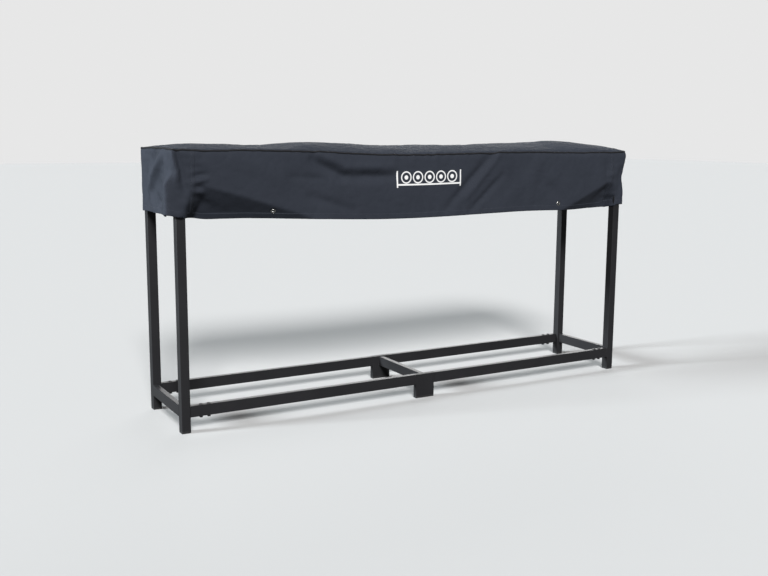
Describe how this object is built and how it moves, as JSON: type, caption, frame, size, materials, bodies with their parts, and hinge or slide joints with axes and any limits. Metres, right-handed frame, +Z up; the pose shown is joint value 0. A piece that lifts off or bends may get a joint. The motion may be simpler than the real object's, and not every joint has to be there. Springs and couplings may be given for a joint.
{
  "type": "firewood log rack",
  "caption": "Long low rack of black steel tube on capped feet for stacked firewood, open front and rear, with a fitted fabric cover that lifts off.",
  "frame": {"origin": "on the ground, under the middle of the rack", "axes": "+Z up, +X along the row of logs, -Y the front, from which the picture is taken"},
  "size_m": [2.4834, 0.4894, 1.219],
  "materials": {
    "frame_steel": "fine textured black powder coat",
    "cap_plastic": "moulded black plastic",
    "bolt_black": "black zinc",
    "cover_cloth": "coated woven polyester, black",
    "grommet_nickel": "nickel plated"
  },
  "bodies": {
    "rack": {"centre_crossbar": "frame_steel", "centre_foot_cap_front": "cap_plastic", "centre_foot_cap_rear": "cap_plastic", "centre_leg_cap_front": "cap_plastic", "centre_leg_cap_rear": "cap_plastic", "centre_leg_front": "frame_steel", "centre_leg_rear": "frame_steel", "centre_stub_front_left": "frame_steel", "centre_stub_front_right": "frame_steel", "centre_stub_rear_left": "frame_steel", "centre_stub_rear_right": "frame_steel", "crossbar_bottom_left": "frame_steel", "crossbar_bottom_right": "frame_steel", "crossbar_top_left": "frame_steel", "crossbar_top_right": "frame_steel", "foot_cap_front_left": "cap_plastic", "foot_cap_front_right": "cap_plastic", "foot_cap_rear_left": "cap_plastic", "foot_cap_rear_right": "cap_plastic", "post_cap_front_left": "cap_plastic", "post_cap_front_right": "cap_plastic", "post_cap_rear_left": "cap_plastic", "post_cap_rear_right": "cap_plastic", "post_front_left": "frame_steel", "post_front_right": "frame_steel", "post_rear_left": "frame_steel", "post_rear_right": "frame_steel", "post_stub_front_left": "frame_steel", "post_stub_front_right": "frame_steel", "post_stub_rear_left": "frame_steel", "post_stub_rear_right": "frame_steel", "rail_bolt_front_left_inner": "bolt_black", "rail_bolt_front_left_outer": "bolt_black", "rail_bolt_front_right_inner": "bolt_black", "rail_bolt_front_right_outer": "bolt_black", "rail_bolt_rear_left_inner": "bolt_black", "rail_bolt_rear_left_outer": "bolt_black", "rail_bolt_rear_right_inner": "bolt_black", "rail_bolt_rear_right_outer": "bolt_black", "rail_front_left": "frame_steel", "rail_front_right": "frame_steel", "rail_nut_front_left_inner": "bolt_black", "rail_nut_front_left_outer": "bolt_black", "rail_nut_front_right_inner": "bolt_black", "rail_nut_front_right_outer": "bolt_black", "rail_nut_rear_left_inner": "bolt_black", "rail_nut_rear_left_outer": "bolt_black", "rail_nut_rear_right_inner": "bolt_black", "rail_nut_rear_right_outer": "bolt_black", "rail_rear_left": "frame_steel", "rail_rear_right": "frame_steel"},
    "cover": {"cover_front": "cover_cloth", "cover_left": "cover_cloth", "cover_rear": "cover_cloth", "cover_right": "cover_cloth", "cover_top": "cover_cloth", "grommet_front_left": "grommet_nickel", "grommet_front_right": "grommet_nickel", "grommet_rear_left": "grommet_nickel", "grommet_rear_right": "grommet_nickel"}
  },
  "joints": [
    {"name": "cover_lift", "type": "slide", "parent": "rack", "child": "cover", "axis": [0, 0, 1], "range_m": [0, 0.35]}
  ]
}
